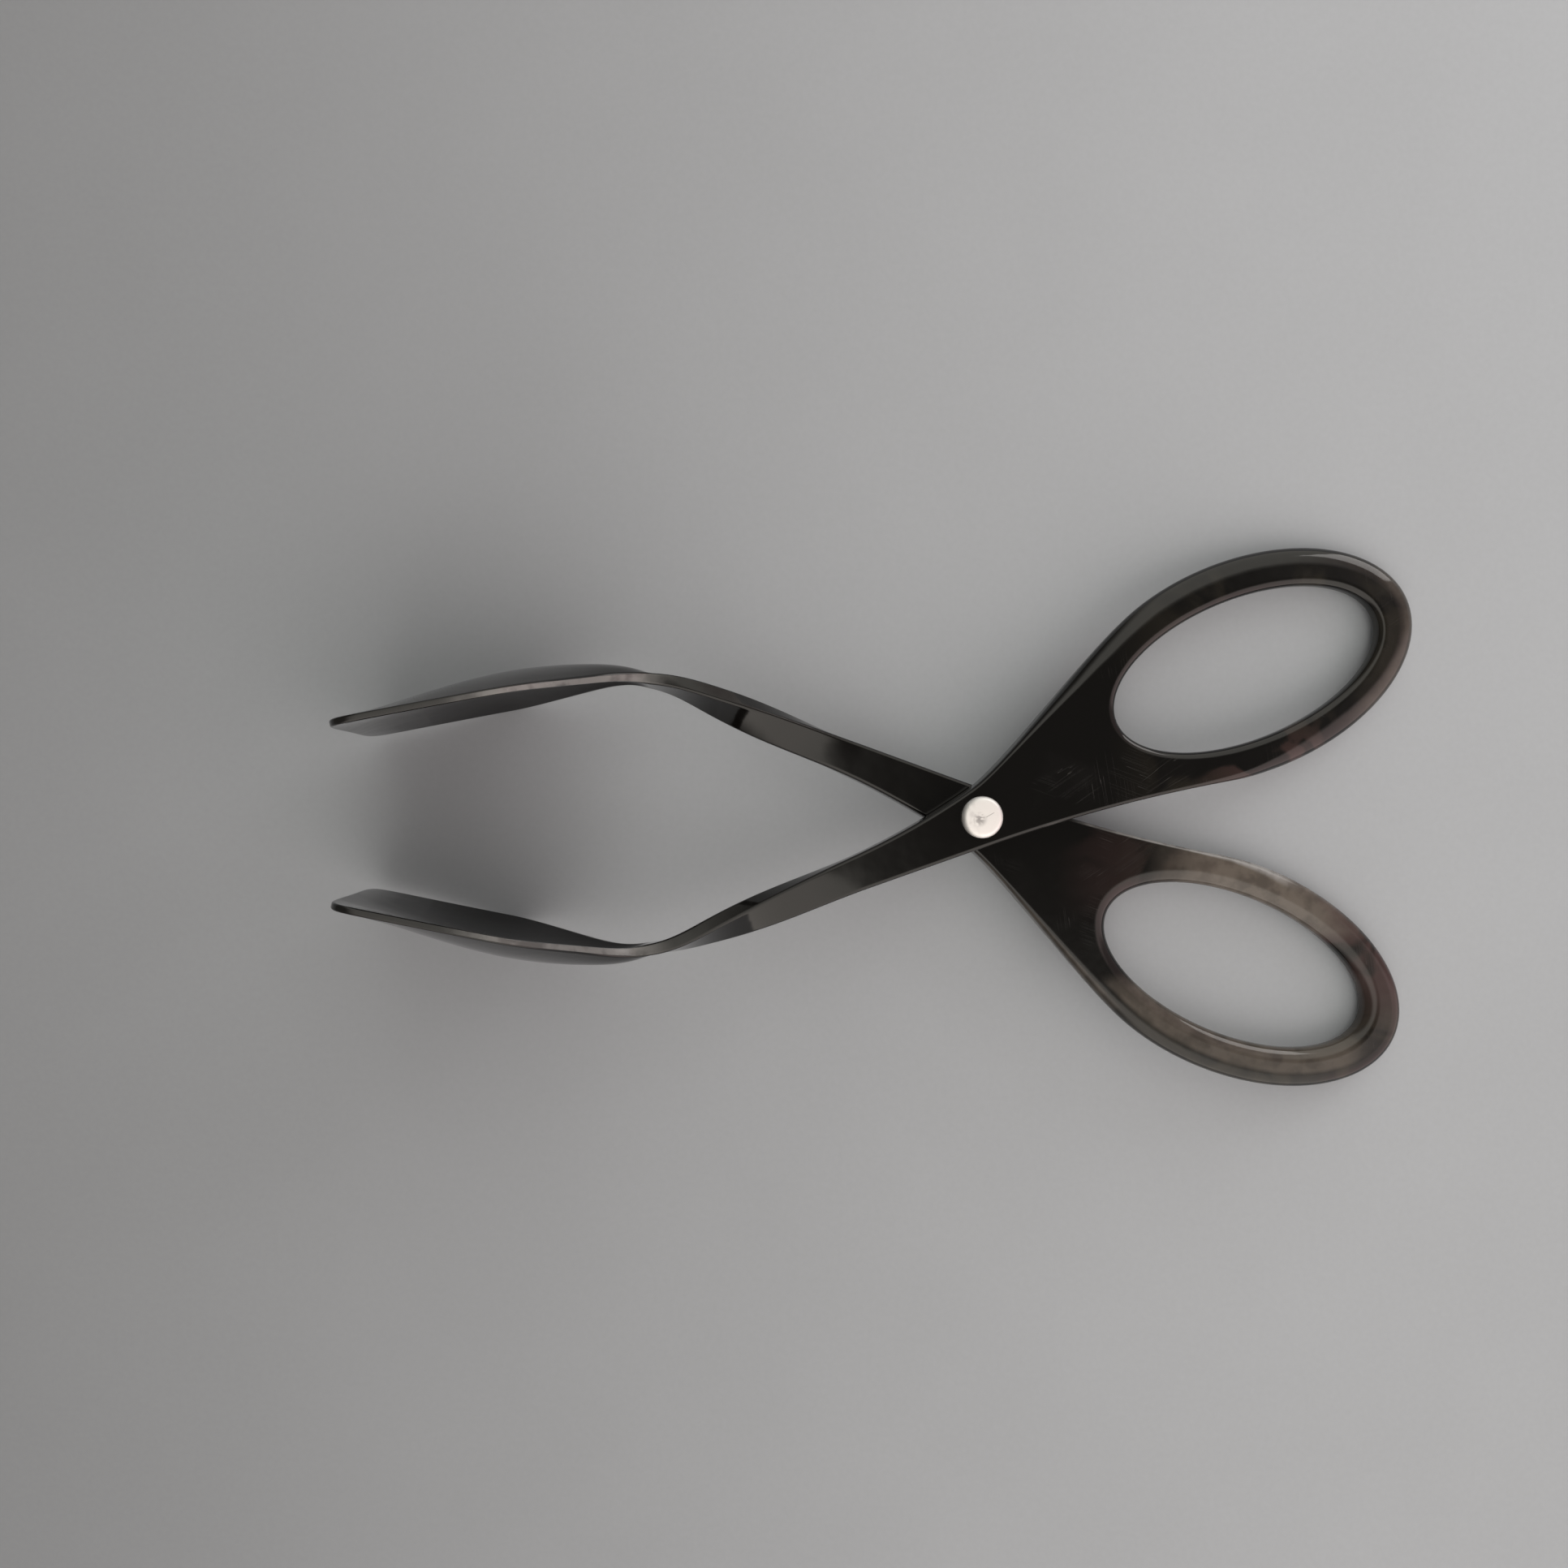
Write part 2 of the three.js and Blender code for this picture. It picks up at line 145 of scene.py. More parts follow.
class RivetSizes(bpy.types.PropertyGroup):
    """Sizes of the two-piece rivet."""

    head: length("Head", 8, "Diameter of each head")
    head_height: length("Head height", 1.3, "Height of each head")
    head_round: length("Head rounding", 1.0, "Rounding of the head's rim")
    crown: length("Crown", 0.12, "Rise of the head's face from its rim to its middle")
    dimple: length("Dimple", 1.6, "Radius of the setting punch's shallow mark")
    dimple_depth: length("Dimple depth", 0.04, "Depth of the punch mark")
    sleeve: length("Sleeve", 4.6, "Diameter of the sleeve's barrel")
    pin: length("Pin", 2.6, "Diameter of the pin")
    clearance: length("Clearance", 0.3, "Gap round the sleeve, the pin and under the heads")
    sleeve_short: length("Sleeve stop", 0.8, "How far the sleeve stops from the pin's head")
    bore_roof: length("Bore roof", 1.0, "Where the sleeve's bore ends below its head")
    pin_chamfer: length("Pin chamfer", 0.6, "Chamfer on the pin's end")


class Finish(bpy.types.PropertyGroup):
    """Colours of the object."""

    plastic: colour("Plastic", (0.0042, 0.0038, 0.0036), "Brown-black of the arms")
    olive: colour("Olive cast", (0.03, 0.0262, 0.0196), "Olive clouding in the plastic")
    russet: colour("Russet cast", (0.048, 0.028, 0.027), "Red-brown clouding in the plastic")
    # Painted light: the tan colour stands in for light showing through the loops.
    tan: colour("Tan cast", (0.15, 0.13, 0.112), "Tan clouding where the loops let light through")
    # Painted highlight: this colour also paints pale glints along the necks' edges and the lower throat's
    # inner edge, and faintly along all other edges.
    dust_and_highlight: colour("Dust", (0.34, 0.34, 0.34), "Dust specks, rubbed edges and the bottoms of scratches")
    metal: colour("Metal", (0.95, 0.945, 0.935), "Bright aluminium of the rivet")
    tarnish: colour("Tarnish", (0.42, 0.41, 0.41), "Scuffed grey on the rivet's heads")


class Studio(bpy.types.PropertyGroup):
    """Floor, light and camera."""

    # Painted light and shade: the floor is painted darker towards the paddles and paler towards the loops.
    painted_shade_west_floor: colour("West floor", (0.27, 0.288, 0.311), "Grey paper beyond the paddles")
    painted_light_east_floor: colour("East floor", (0.515, 0.551, 0.596), "Pale grey paper beyond the loops")
    wall_north: colour("North wall", (1.0, 0.97, 0.88), "Colour of the room on the upper loop's side")
    wall_south: colour("South wall", (1.0, 0.93, 0.85), "Colour of the room on the lower loop's side")
    wall_east: colour("East wall", (1.0, 0.8, 0.77), "Colour of the room beyond the loops")
    north_level: number("North level", 1.05, "Brightness of the room on the upper loop's side")
    south_level: number("South level", 1.5, "Brightness of the room on the lower loop's side")
    west_level: number("West level", 0.12, "Share of the light beyond the paddles")
    corner_level: number("Corner level", 0.4, "Share of the light in the north-east corner")
    dim_level: number("Dim level", 0.10, "Brightness of the dim patch overhead")
    dim_east: angle("Dim east", 23, "How far the dim patch leans to the loops")
    dim_north: angle("Dim north", 7, "How far the dim patch leans to the upper loop")
    dim_inner: angle("Dim inner", 4, "Half angle of the dim patch")
    dim_outer: angle("Dim outer", 20, "Half angle where the room's light is back in full")
    key: colour("Key", (1.0, 0.97, 0.94), "Colour of the soft strip light beyond the upper loop")
    key_power: number("Key power", 0.5, "Watts of the strip light")
    key_width: length("Key width", 200, "Width of the strip light")
    key_height: length("Key height", 280, "Height of the strip light")
    eye_distance: length("Eye distance", 276.92, "From the camera to the plane of the rivet's head")
    focal_pixels: number("Focal length", 1800, "Focal length in pixels of the square picture")
    rivet_column: number("Rivet column", 1212.1, "Pixel column of the rivet's head")
    rivet_row: number("Rivet row", 1007.1, "Pixel row of the rivet's head")
    eye_tilt: angle("Eye tilt", 5.73, "Lean of the view towards the paddles")
    eye_lean: angle("Eye lean", 0.61, "Lean of the view towards the upper loop")
    eye_spin: angle("Eye spin", 0.35, "Turn of the picture about the line of sight")


class TongsSettings(bpy.types.PropertyGroup):
    """All settings of the tongs."""

    arm: bpy.props.PointerProperty(type=ArmSizes)
    rivet: bpy.props.PointerProperty(type=RivetSizes)
    finish: bpy.props.PointerProperty(type=Finish)
    studio: bpy.props.PointerProperty(type=Studio)


def arithmetic(operation, swapped=False):
    """A method of a wire that puts a Math node on it and another value."""

    def method(self, other):
        return self.math(operation, *((other, self) if swapped else (self, other)))

    return method


class Wire:
    """An output socket in a node tree. Arithmetic on it adds Math nodes to that tree."""

    def __init__(self, tree, socket=None):
        self.tree = tree
        self.socket = socket

    def node(self, kind, settings=None, inputs=None, output=0):
        """Adds a node, its settings, then its sockets' values or links, and gives one of its outputs."""
        made = self.tree.nodes.new(kind)
        for name, value in (settings or {}).items():
            setattr(made, name, value)
        for name, value in (inputs or {}).items():
            if isinstance(value, Wire):
                self.tree.links.new(value.socket, made.inputs[name])
            else:
                made.inputs[name].default_value = value
        return Wire(self.tree, made.outputs[output] if len(made.outputs) else None)

    def math(self, operation, *values):
        """A Math node on numbers and wires."""
        return self.node("ShaderNodeMath", {"operation": operation}, dict(enumerate(values)))

    def sine(self):
        """The sine of an angle."""
        return self.math("SINE", self)

    def cosine(self):
        """The cosine of an angle."""
        return self.math("COSINE", self)

    def vector(self, operation, *values):
        """A Vector Math node on vectors and wires."""
        return self.node("ShaderNodeVectorMath", {"operation": operation}, dict(enumerate(values)))

    def scaled(self, factor):
        """A vector or a colour times a number."""
        return self.node("ShaderNodeVectorMath", {"operation": "SCALE"}, {0: self, "Scale": factor})

    def axes(self):
        """The three numbers of a vector."""
        return [self.node("ShaderNodeSeparateXYZ", None, {0: self}, axis) for axis in range(3)]

    __add__, __radd__ = arithmetic("ADD"), arithmetic("ADD", swapped=True)
    __sub__, __rsub__ = arithmetic("SUBTRACT"), arithmetic("SUBTRACT", swapped=True)
    __mul__, __rmul__ = arithmetic("MULTIPLY"), arithmetic("MULTIPLY", swapped=True)
    __truediv__, __rtruediv__ = arithmetic("DIVIDE"), arithmetic("DIVIDE", swapped=True)
    __pow__ = arithmetic("POWER")

    def __neg__(self):
        return self.math("MULTIPLY", self, -1.0)


# Formulas that work on plain numbers and, in a node tree, on wires


def clamp(value):
    """Keeps a value between 0 and 1."""
    if isinstance(value, Wire):
        return value.node("ShaderNodeClamp", None, {"Value": value})
    return min(max(value, 0.0), 1.0)


def soften(share):
    """A share from 0 to 1 that starts and ends gently."""
    return share * share * (3 - 2 * share)


def smooth(value, start, end):
    """Rises gently from 0 at the start to 1 at the end."""
    return soften(clamp((value - start) / (end - start)))


def ease_out(share):
    """Rises at once and ends gently."""
    left = 1 - clamp(share)
    return 1 - left * left


def within(value, low, high, fade):
    """1 between two limits, fading to 0 outside them."""
    return smooth(value, low - fade, low) * (1 - smooth(value, high, high + fade))


def mix(first, second, share):
    """A value between two others."""
    return first + (second - first) * share


def half_width(along, size):
    """Half the blank's width at a distance from the pivot."""
    shank = mix(size.pivot_width, size.shank_width, ease_out(along / size.shank_taper))
    neck = mix(shank, size.neck_width, smooth(along, size.shank_taper, size.neck_at))
    paddle = mix(neck, size.paddle_width, smooth(along, size.neck_at, size.paddle_full_at))
    share = clamp((along - size.nose_at) / (size.tip_at - size.nose_at))
    return paddle * (1 - share**size.nose_squareness) ** (1 / size.nose_squareness) / 2


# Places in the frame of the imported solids


def stack_matrix():
    """The rivet's own frame: its axis along Z, X towards the loops, the origin at the pivot."""
    joint = next(item for item in frame["joints"] if item["name"] == "rivet_pivot")
    axis = Vector(joint["axis"]).normalized()
    forward = Vector((axis.z, 0.0, -axis.x)).normalized()
    turned = Matrix((forward, axis.cross(forward), axis)).transposed().to_4x4()
    return Matrix.Translation(joint["pos_m"]) @ turned


def stacked(local):
    """A place in the rivet's frame, and its twin after a half turn about the long axis."""
    stack = stack_matrix()
    return stack @ local, stack @ Matrix.Rotation(math.pi, 4, "X") @ local


def head_seat(settings):
    """Height of a rivet head's underside over the parting plane."""
    arm = settings.arm
    return arm.arm_gap / 2 + arm.arm_thickness + settings.rivet.clearance


def linked(name, data):
    """A new object in the scene."""
    thing = bpy.data.objects.new(name, data)
    bpy.context.scene.collection.objects.link(thing)
    return thing


def add_piece(name, mesh, place, body, node):
    """Puts a finished mesh in its place, on its body, in the stead of its solid."""
    mesh.name = name
    mesh.transform(place)
    piece = linked(name, mesh)
    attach(piece, body)
    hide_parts(node)


# The arm's blank, flat and closed, with rounded rims

NOSE_STEPS = 24
FRONT_STEPS = 200
THROAT_STEPS = 32
THROAT_CUT = 12
LOOP_STEPS = 168
RIM_STEPS = 10
COLUMNS = 24
FLAT_KEEPER = 0.15 * MM
RIM = "rim"


def thickness(along, size):
    """The arm's thickness at a distance from the pivot."""
    thinned = smooth(along, size.thinning_start, size.thinning_end)
    return mix(size.arm_thickness, size.paddle_thickness, thinned)


def edge_round(at, loop_round, size):
    """How far in from the blank's edge the rounding starts, which widens to the loop's own."""
    front = mix(size.pivot_round, size.paddle_round, smooth(-at.x, size.thinning_start, size.thinning_end))
    spread = (size.outer_start, size.outer_end) if at.y > 0 else (size.inner_start, size.inner_end)
    return mix(front, loop_round, smooth(at.x, *spread))


def hole_oval(size):
    """Centre and radii of the finger hole."""
    radii = Vector((size.hole_length / 2, size.hole_width / 2))
    return Vector((size.handle_length - size.band_far - radii.x, size.hole_offset)), radii


def loop_oval(size):
    """Centre and radii of the loop's outer edge."""
    centre, _ = hole_oval(size)
    radii = Vector((
        size.hole_length / 2 + size.band_far - size.loop_shift,
        (size.hole_width + size.band_outer + size.band_inner) / 2,
    ))
    return centre + Vector((size.loop_shift, (size.band_outer - size.band_inner) / 2)), radii


def on_oval(oval, turn):
    """A point on an oval."""
    centre, radii = oval
    return centre + Vector((radii.x * math.cos(turn), radii.y * math.sin(turn)))


def front_edge(size):
    """The blank's outer front edge from the tip to the pivot."""
    edge = []
    power = 2 / size.nose_squareness
    for step in range(NOSE_STEPS):
        turn = math.pi / 2 * (1 - step / NOSE_STEPS)
        along = size.nose_at + (size.tip_at - size.nose_at) * math.sin(turn) ** power
        edge.append(Vector((-along, half_width(along, size) if step else 0.0)))
    for step in range(FRONT_STEPS + 1):
        along = size.nose_at * (1 - step / FRONT_STEPS)
        edge.append(Vector((-along, half_width(along, size))))
    return edge


def throat_edge(side, turn, leaving, arriving, size):
    """One edge of the throat, a cubic curve from the pivot to the loop's oval."""
    start = Vector((0.0, side * size.pivot_width / 2))
    flare = side * (size.pivot_width - size.shank_width) / size.shank_taper
    leave = Vector((1.0, flare + 2 * size.shank_offset / size.offset_length)).normalized()
    oval = loop_oval(size)
    end = on_oval(oval, turn)
    arrive = side * Vector((oval[1].x * math.sin(turn), -oval[1].y * math.cos(turn))).normalized()
    first, second = start + leave * leaving, end - arrive * arriving
    shares = [step / THROAT_STEPS for step in range(THROAT_STEPS + 1)]
    return [
        start * (1 - t) ** 3 + first * 3 * t * (1 - t) ** 2 + second * 3 * t * t * (1 - t) + end * t**3
        for t in shares
    ]


def blank_outline(size):
    """The blank's outline clockwise from the tip, and the index where the loop's ring takes over."""
    front = front_edge(size)
    first, last = size.throat_outer_angle, size.throat_inner_angle
    outer = throat_edge(1, first, size.throat_outer_leave, size.throat_outer_arrive, size)
    inner = throat_edge(-1, last, size.throat_inner_leave, size.throat_inner_arrive, size)
    sweep = first + 2 * math.pi - last
    turns = [first - sweep * step / LOOP_STEPS for step in range(1, LOOP_STEPS)]
    loop = [on_oval(loop_oval(size), turn) for turn in turns]
    back = [Vector((point.x, -point.y)) for point in front[:0:-1]]
    return front + outer[1:] + loop + inner[:0:-1] + back, len(front) - 1 + THROAT_CUT


class Blank:
    """Points in pairs, one on each face of the blank, and the faces that join them."""

    def __init__(self, size):
        self.size = size
        self.points = []
        self.rims = []
        self.faces = []

    def pair(self, at, above, below, rim):
        """Adds a point on both faces, over and under the blank's middle. Its rim is 1 at the outline."""
        self.points += [(at.x, at.y, above), (at.x, at.y, -below)]
        self.rims += [rim, rim]
        return len(self.points) - 2

    def face(self, *corners):
        """Adds a face, without corners that fall together."""
        kept = list(dict.fromkeys(corners))
        if len(kept) > 2:
            self.faces.append(kept)

    def both(self, *corners):
        """Adds a face above, for corners anticlockwise from above, and its twin below."""
        self.face(*corners)
        self.face(*[corner + 1 for corner in reversed(corners)])

    def inside(self, at):
        """Adds a point on both faces, away from the edges."""
        half = thickness(-at.x, self.size) / 2
        return self.pair(at, half, half, 0.0)

    def rounded(self, half, rounding, apart):
        """Height of a face over the blank's middle, at a distance from the edge that is rounded off."""
        height = min(rounding, half - self.size.parting_land / 2)
        left = 1 - clamp(apart / rounding)
        return half - height * (1 - math.sqrt(1 - left * left))

    def rim(self, point, inward, above, below, edge):
        """Rows of points from the edge inwards that round off both faces, then one that keeps them flat."""
        half = thickness(-point.x, self.size) / 2
        reach = max(above, below)
        row = []
        for step in range(RIM_STEPS + 1):
            apart = reach * (1 - math.cos(math.pi / 2 * step / RIM_STEPS))
            at = point + inward * apart
            heights = [self.rounded(half, rounding, apart) for rounding in (above, below)]
            row.append((at, self.pair(at, *heights, edge * (1 - apart / reach))))
        at = point + inward * (reach + FLAT_KEEPER)
        row.append((at, self.inside(at)))
        return row


def add_outline(blank, outline):
    """Rounds off the blank's outline, and gives its rows of points from the edge inwards."""
    size, count = blank.size, len(outline)
    edge = []
    for index, point in enumerate(outline):
        tangent = (outline[(index + 1) % count] - outline[index - 1]).normalized()
        above, below = [edge_round(point, widest, size) for widest in (size.loop_round, size.loop_crisp)]
        edge.append(blank.rim(point, Vector((tangent.y, -tangent.x)), above, below, 1.0))
    for row, other in zip(edge, edge[1:] + edge[:1]):
        blank.face(row[0][1], other[0][1], other[0][1] + 1, row[0][1] + 1)
        for step in range(RIM_STEPS + 1):
            blank.both(row[step][1], row[step + 1][1], other[step + 1][1], other[step][1])
    return edge


def add_ladder(blank, edge, cut):
    """Fills the blank with rungs from edge to edge, from the tip to the loop, and gives the last rung."""
    rungs = [[edge[0][-1][1]] * (COLUMNS + 1)]
    for index in range(1, cut + 1):
        (left, first), (right, last) = edge[index][-1], edge[len(edge) - index][-1]
        places = [left.lerp(right, column / COLUMNS) for column in range(1, COLUMNS)]
        rungs.append([first, *[blank.inside(at) for at in places], last])
    for rung, other in zip(rungs, rungs[1:]):
        for column in range(COLUMNS):
            blank.both(rung[column], rung[column + 1], other[column + 1], other[column])
    return rungs[-1]


def add_loop(blank, ring):
    """Fills the loop from a ring of points inside its edge to the finger hole, which it rounds off."""
    size = blank.size
    centre, radii = hole_oval(size)
    hole = []
    for index in ring:
        x, y, _ = blank.points[index]
        turn = math.atan2((y - centre.y) / radii.y, (x - centre.x) / radii.x)
        outward = Vector((math.cos(turn) / radii.x, math.sin(turn) / radii.y)).normalized()
        at = on_oval((centre, radii), turn)
        hole.append(blank.rim(at, outward, size.hole_round, size.hole_soft, 0.0))
    for index, row in enumerate(hole):
        after = (index + 1) % len(hole)
        other = hole[after]
        blank.both(ring[index], row[-1][1], other[-1][1], ring[after])
        for step in range(RIM_STEPS + 1):
            blank.both(row[step + 1][1], row[step][1], other[step][1], other[step + 1][1])
        blank.face(other[0][1], row[0][1], row[0][1] + 1, other[0][1] + 1)


def blank_mesh(size):
    """The flat, closed blank of one arm, with its finger hole."""
    blank = Blank(size)
    outline, cut = blank_outline(size)
    edge = add_outline(blank, outline)
    last_rung = add_ladder(blank, edge, cut)
    loop_side = [row[-1][1] for row in edge[cut : len(edge) - cut + 1]]
    add_loop(blank, loop_side + last_rung[-2:0:-1])
    mesh = bpy.data.meshes.new("arm_blank")
    mesh.from_pydata(blank.points, [], blank.faces)
    mesh.attributes.new(RIM, "FLOAT", "POINT").data.foreach_set("value", blank.rims)
    return mesh


# The node trees that mould the blank into an arm

GAUSS_POINTS = 5
NORMAL_STEP = 0.1 * MM
BORE_SEGMENTS = 64
MOULD_FIELDS = (
    "pivot_width", "shank_width", "shank_taper", "neck_width", "neck_at", "paddle_width", "paddle_full_at",
    "nose_at", "tip_at", "nose_squareness", "twist", "twist_start", "twist_end", "neck_turn", "turn_start",
    "turn_end", "shank_offset", "offset_length", "dish_depth", "dish_bias", "paddle_drop",
)


def centre_line(along, size):
    """Plan position of the centre line, which is straight, turns in at the neck and is straight again."""
    span = size.turn_end - size.turn_start
    share = clamp((along - size.turn_start) / span)
    after = along.math("MAXIMUM", along - size.turn_end, 0.0)
    turning = span * share
    ahead = along - turning - after + after * size.neck_turn.cosine()
    aside = after * size.neck_turn.sine()
    places, weights = np.polynomial.legendre.leggauss(GAUSS_POINTS)
    for place, weight in zip((places + 1) / 2, weights / 2):
        turn = size.neck_turn * soften(share * float(place))
        ahead = ahead + turning * float(weight) * turn.cosine()
        aside = aside + turning * float(weight) * turn.sine()
    return -ahead, aside - size.shank_offset * ease_out(along / size.offset_length)


def middle_surface(x, y, size):
    """Maps a point of the flat blank onto the middle surface of the moulded arm."""
    along = -x
    turned = smooth(along, size.twist_start, size.twist_end)
    twist = size.twist * turned
    turn = size.neck_turn * smooth(along, size.turn_start, size.turn_end)
    share = clamp((along - size.neck_at) / (size.tip_at - size.neck_at))
    depth = size.dish_depth * (math.pi * share**size.dish_bias).sine()
    width = half_width(along, size)
    dish = depth * (1 - clamp((y * y) / (width * width)))
    line_x, line_y = centre_line(along, size)
    sideways = y * twist.cosine() - dish * twist.sine()
    upwards = y * twist.sine() + dish * twist.cosine()
    return x.node(
        "ShaderNodeCombineXYZ",
        None,
        {
            "X": line_x + sideways * turn.sine(),
            "Y": line_y + sideways * turn.cosine(),
            "Z": mix(size.arm_middle, -size.paddle_drop, turned) + upwards,
        },
    )


def socket_name(field):
    """A field's name as a socket's label."""
    return field.replace("_", " ").capitalize()


def new_group(name, inputs, outputs):
    """A geometry node group with named sockets, and the wires of its inputs by name."""
    tree = bpy.data.node_groups.new(name, "GeometryNodeTree")
    for in_out, sockets in (("INPUT", inputs), ("OUTPUT", outputs)):
        for label, kind in sockets.items():
            tree.interface.new_socket(label, in_out=in_out, socket_type=kind)
    entry = tree.nodes.new("NodeGroupInput")
    return tree, {label: Wire(tree, entry.outputs[label]) for label in inputs}


def middle_group():
    """The node group that maps the flat blank onto the arm's middle surface."""
    fields = ("x", "y", "arm_middle", *MOULD_FIELDS)
    tree, wires = new_group(
        "Arm Middle Surface",
        {socket_name(field): "NodeSocketFloat" for field in fields},
        {"Position": "NodeSocketVector"},
    )
    size = SimpleNamespace(**{field: wires[socket_name(field)] for field in fields})
    Wire(tree).node("NodeGroupOutput", None, {"Position": middle_surface(size.x, size.y, size)})
    return tree


def shaded_by_angle(start, geometry):
    """Shades a geometry smooth, apart from edges that fold by more than the crease angle."""
    shaded = start.node("GeometryNodeSetShadeSmooth", {"domain": "FACE"}, {"Geometry": geometry})
    sharp = start.math("GREATER_THAN", start.node("GeometryNodeInputMeshEdgeAngle"), CREASE_ANGLE)
    return start.node(
        "GeometryNodeSetShadeSmooth",
        {"domain": "EDGE"},
        {"Geometry": shaded, "Selection": sharp, "Shade Smooth": False},
    )


def moulding_group():
    """The node tree that moulds the flat blank, bores it for the rivet and shades it."""
    fields = ("arm_middle", *MOULD_FIELDS)
    sizes = {socket_name(field): "NodeSocketFloat" for field in (*fields, "bore_radius", "bore_depth")}
    tree, wires = new_group(
        "Moulded Arm",
        {"Geometry": "NodeSocketGeometry", "Material": "NodeSocketMaterial", **sizes},
        {"Geometry": "NodeSocketGeometry"},
    )
    middle = middle_group()
    start = Wire(tree)
    x, y, z = start.node("GeometryNodeInputPosition").axes()

    def surface(at_x, at_y):
        values = {socket_name(field): wires[socket_name(field)] for field in fields}
        return start.node("GeometryNodeGroup", {"node_tree": middle}, {"X": at_x, "Y": at_y, **values})

    lengthwise = start.vector("SUBTRACT", surface(x + NORMAL_STEP, y), surface(x - NORMAL_STEP, y))
    crosswise = start.vector("SUBTRACT", surface(x, y + NORMAL_STEP), surface(x, y - NORMAL_STEP))
    normal = start.vector("NORMALIZE", start.vector("CROSS_PRODUCT", lengthwise, crosswise))
    moulded = start.node(
        "GeometryNodeSetPosition",
        None,
        {"Geometry": wires["Geometry"], "Position": start.vector("ADD", surface(x, y), normal.scaled(z))},
    )
    bore = start.node(
        "GeometryNodeMeshCylinder",
        None,
        {"Vertices": BORE_SEGMENTS, "Radius": wires["Bore radius"], "Depth": wires["Bore depth"]},
    )
    bored = start.node(
        "GeometryNodeMeshBoolean",
        {"operation": "DIFFERENCE", "solver": "EXACT"},
        {"Mesh 1": moulded, "Mesh 2": bore},
    )
    shaded = shaded_by_angle(start, bored)
    realized = start.node("GeometryNodeRealizeInstances", None, {"Geometry": shaded})
    finished = start.node(
        "GeometryNodeSetMaterial", None, {"Geometry": realized, "Material": wires["Material"]}
    )
    start.node("NodeGroupOutput", None, {"Geometry": finished})
    return tree


def moulded_mesh(settings, material):
    """One arm in its own frame: pivot at the origin, handle along +X, the parting plane at height zero."""
    size, rivet = settings.arm, settings.rivet
    values = {field: getattr(size, field) for field in MOULD_FIELDS}
    values["arm_middle"] = (size.arm_gap + size.arm_thickness) / 2
    values["bore_radius"] = rivet.sleeve / 2 + rivet.clearance
    values["bore_depth"] = 2 * head_seat(settings)
    blank = linked("arm_blank", blank_mesh(size))
    moulding = blank.modifiers.new("Moulding", "NODES")
    moulding.node_group = moulding_group()
    items = moulding.node_group.interface.items_tree
    sockets = {item.name: item.identifier for item in items if item.in_out == "INPUT"}
    for field, value in values.items():
        moulding[sockets[socket_name(field)]] = value
    moulding[sockets["Material"]] = material
    graph = bpy.context.evaluated_depsgraph_get()
    mesh = bpy.data.meshes.new_from_object(blank.evaluated_get(graph), depsgraph=graph)
    bpy.data.objects.remove(blank)
    return mesh


# The rivet

RIVET_SEGMENTS = 96
CROWN_STEPS = 14
RIM_ARC_STEPS = 10
MERGE_DISTANCE = 0.001 * MM


def head_profile(rivet):
    """A head from the middle of its face to its rim's foot, as radius and height over its underside."""
    radius = rivet.head / 2
    lean = math.atan(2 * rivet.crown / (radius - rivet.head_round))
    face = radius - rivet.head_round * (1 - math.sin(lean))
    shoulder = rivet.head_height - rivet.crown - rivet.head_round * math.cos(lean)
    profile = []
    for step in range(CROWN_STEPS):
        r = face * step / CROWN_STEPS
        dimple = rivet.dimple_depth * (1 - smooth(r, 0.0, rivet.dimple))
        profile.append((r, rivet.head_height - rivet.crown * (r / face) ** 2 - dimple))
    for step in range(RIM_ARC_STEPS + 1):
        turn = mix(lean, math.pi / 2, step / RIM_ARC_STEPS)
        profile.append((
            radius - rivet.head_round * (1 - math.sin(turn)),
            shoulder + rivet.head_round * math.cos(turn),
        ))
    profile.append((radius, 0.0))
    return profile


def sleeve_profile(settings):
    """The visible head and its barrel, with the bore that takes the pin."""
    rivet = settings.rivet
    foot = -(2 * head_seat(settings) - rivet.clearance - rivet.sleeve_short)
    bore = rivet.pin / 2 + rivet.clearance
    barrel = rivet.sleeve / 2
    return head_profile(rivet) + [
        (barrel, 0.0), (barrel, foot), (bore, foot), (bore, -rivet.bore_roof), (0.0, -rivet.bore_roof),
    ]


def pin_profile(settings):
    """The hidden head and its chamfered shank."""
    rivet = settings.rivet
    foot = -(2 * head_seat(settings) - rivet.bore_roof - rivet.clearance)
    shank = rivet.pin / 2
    return head_profile(rivet) + [
        (shank, 0.0), (shank, foot + rivet.pin_chamfer), (shank - rivet.pin_chamfer, foot), (0.0, foot),
    ]


def turned_mesh(profile, material):
    """A turned piece: the profile spun about Z, closed where it meets the axis."""
    shape = bmesh.new()
    points = [shape.verts.new((r, 0.0, z)) for r, z in profile]
    edges = [shape.edges.new(pair) for pair in zip(points, points[1:])]
    bmesh.ops.spin(
        shape, geom=points + edges, cent=(0, 0, 0), axis=(0, 0, 1), angle=2 * math.pi, steps=RIVET_SEGMENTS,
        use_merge=True,
    )
    bmesh.ops.remove_doubles(shape, verts=shape.verts, dist=MERGE_DISTANCE)
    bmesh.ops.recalc_face_normals(shape, faces=shape.faces)
    for face in shape.faces:
        face.smooth = True
    for edge in shape.edges:
        edge.smooth = edge.calc_face_angle(0.0) < CREASE_ANGLE
    mesh = bpy.data.meshes.new("turned")
    shape.to_mesh(mesh)
    shape.free()
    mesh.materials.append(material)
    return mesh


# Patterns that the finishes share

# A Mix node's sockets for colours, which have the names of its sockets for numbers
COLOUR_A, COLOUR_B, COLOUR_MIXED = 6, 7, 2

